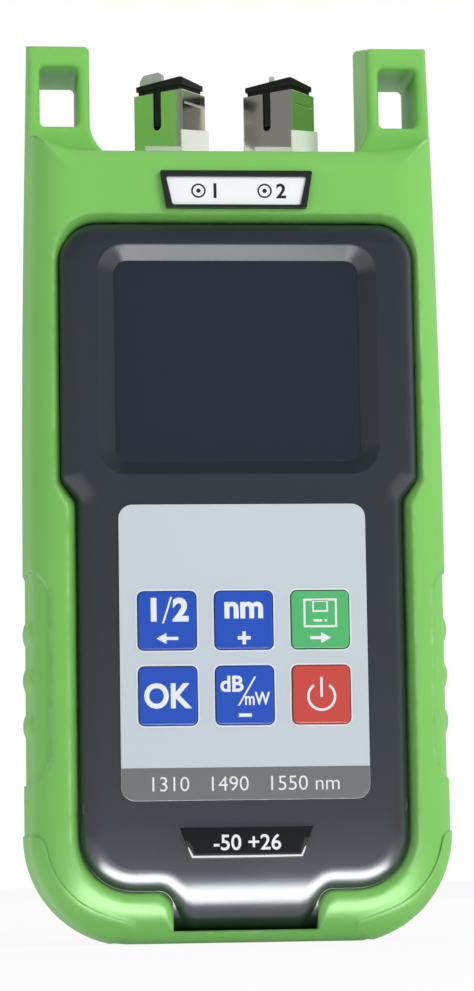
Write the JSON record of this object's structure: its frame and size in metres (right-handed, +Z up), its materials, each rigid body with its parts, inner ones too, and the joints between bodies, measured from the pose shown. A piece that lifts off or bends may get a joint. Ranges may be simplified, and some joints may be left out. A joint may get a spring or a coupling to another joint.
{
  "type": "optical power meter",
  "caption": "Handheld fibre-optic power meter in a stretch-on boot with strap ears, sunk display, keypad, square-hooded optical ports with dust plugs, and a hinged battery door.",
  "frame": {"origin": "centre of the footprint on the flat base that the meter stands on", "axes": "+Z up from the base to the ears, the display and keypad side faces -Y, +X to the right as seen from that side"},
  "size_m": [0.0884, 0.0422, 0.1919],
  "materials": {
    "boot_green": "satin moulded silicone, fine matt grain",
    "housing_charcoal": "fine spark-eroded texture, satin",
    "window_smoke": "polished smoked acrylic",
    "lcd_grey": "unlit display glass",
    "plastic_white": "satin moulded",
    "board_green": "solder-masked fibreglass",
    "label_silver": "printed polyester, fine grain",
    "key_blue": "satin moulded",
    "key_green": "satin moulded",
    "key_red": "satin moulded",
    "plastic_black": "satin moulded",
    "trim_black": "semi-gloss",
    "badge_white": "printed polyester",
    "badge_black": "clear resin dome over black",
    "hood_nickel": "satin nickel plate",
    "seat_pale": "glossy moulded",
    "sleeve_ceramic": "ground ceramic",
    "can_gold": "plated",
    "plug_black": "matt soft moulded",
    "tab_clear": "translucent soft moulded",
    "cell_wrap": "shrunk plastic sleeve",
    "contact_steel": "bright plated spring steel",
    "screw_steel": "zinc plated"
  },
  "bodies": {
    "meter": {"protective_boot": "boot_green", "front_housing": "housing_charcoal", "rear_housing": "housing_charcoal", "display_window": "window_smoke", "lcd_panel": "lcd_grey", "backlight_plate": "plastic_white", "main_board": "board_green", "keypad_label": "label_silver", "top_badge_frame": "trim_black", "top_badge_plate": "badge_white", "lower_badge": "badge_black", "port_plate": "seat_pale", "cell_left": "cell_wrap", "cell_middle": "cell_wrap", "cell_right": "cell_wrap", "battery_contacts": "contact_steel", "housing_screws": "screw_steel", "board_screws": "screw_steel", "switch_ratio": "plastic_black", "switch_wavelength": "plastic_black", "switch_save": "plastic_black", "switch_ok": "plastic_black", "switch_units": "plastic_black", "switch_power": "plastic_black", "adapter_left": "hood_nickel", "hood_seat_left": "seat_pale", "port_nut_left": "hood_nickel", "ferrule_sleeve_left": "sleeve_ceramic", "detector_can_left": "can_gold", "adapter_right": "hood_nickel", "hood_seat_right": "seat_pale", "port_nut_right": "hood_nickel", "ferrule_sleeve_right": "sleeve_ceramic", "detector_can_right": "can_gold"},
    "key_ratio_body": {"key_ratio": "key_blue", "plunger_ratio": "plastic_white"},
    "key_wavelength_body": {"key_wavelength": "key_blue", "plunger_wavelength": "plastic_white"},
    "key_save_body": {"key_save": "key_green", "plunger_save": "plastic_white"},
    "key_ok_body": {"key_ok": "key_blue", "plunger_ok": "plastic_white"},
    "key_units_body": {"key_units": "key_blue", "plunger_units": "plastic_white"},
    "key_power_body": {"key_power": "key_red", "plunger_power": "plastic_white"},
    "plug_left": {"dust_plug_left": "plug_black", "plug_tab_left": "tab_clear"},
    "plug_right": {"dust_plug_right": "plug_black", "plug_tab_right": "tab_clear"},
    "door": {"battery_door": "housing_charcoal"}
  },
  "joints": [
    {"name": "press_ratio", "type": "slide", "parent": "meter", "child": "key_ratio_body", "axis": [0, 1, 0], "range_m": [0, 0.00045], "stiffness_N_per_m": 350},
    {"name": "press_wavelength", "type": "slide", "parent": "meter", "child": "key_wavelength_body", "axis": [0, 1, 0], "range_m": [0, 0.00045], "stiffness_N_per_m": 350},
    {"name": "press_save", "type": "slide", "parent": "meter", "child": "key_save_body", "axis": [0, 1, 0], "range_m": [0, 0.00045], "stiffness_N_per_m": 350},
    {"name": "press_ok", "type": "slide", "parent": "meter", "child": "key_ok_body", "axis": [0, 1, 0], "range_m": [0, 0.00045], "stiffness_N_per_m": 350},
    {"name": "press_units", "type": "slide", "parent": "meter", "child": "key_units_body", "axis": [0, 1, 0], "range_m": [0, 0.00045], "stiffness_N_per_m": 350},
    {"name": "press_power", "type": "slide", "parent": "meter", "child": "key_power_body", "axis": [0, 1, 0], "range_m": [0, 0.00045], "stiffness_N_per_m": 350},
    {"name": "pull_left", "type": "slide", "parent": "meter", "child": "plug_left", "axis": [0, 0, 1], "range_m": [0, 0.012]},
    {"name": "pull_right", "type": "slide", "parent": "meter", "child": "plug_right", "axis": [0, 0, 1], "range_m": [0, 0.012]},
    {"name": "door_hinge", "type": "hinge", "parent": "meter", "child": "door", "pos_m": [0, 0.0174, 0.0252], "axis": [-1, 0, 0], "range_deg": [0, 35]}
  ]
}
